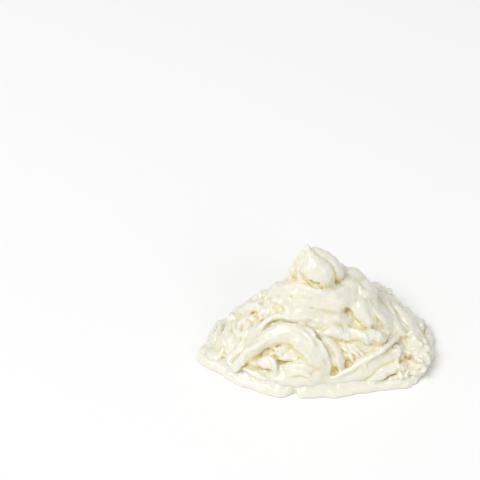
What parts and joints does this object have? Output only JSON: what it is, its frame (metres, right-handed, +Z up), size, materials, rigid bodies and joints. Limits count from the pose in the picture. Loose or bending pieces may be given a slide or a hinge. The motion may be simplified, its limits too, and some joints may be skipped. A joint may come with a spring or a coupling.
{
  "type": "heap of stracciatella cheese",
  "caption": "Heap of stracciatella: folded shreds of pulled curd with a knob on top, in a low pool of cream, lying flat with no dish.",
  "frame": {"origin": "on the surface the heap lies on, under the middle of the part's box", "axes": "+X along the heap's longest side, +Y away from the shown side, +Z up"},
  "size_m": [0.0924, 0.065, 0.048],
  "materials": {
    "curd": "satin, moist pulled curd",
    "cream": "glossy thick cream"
  },
  "bodies": {
    "root": {"curd_heap": "curd", "cream_pool": "cream"}
  },
  "joints": []
}
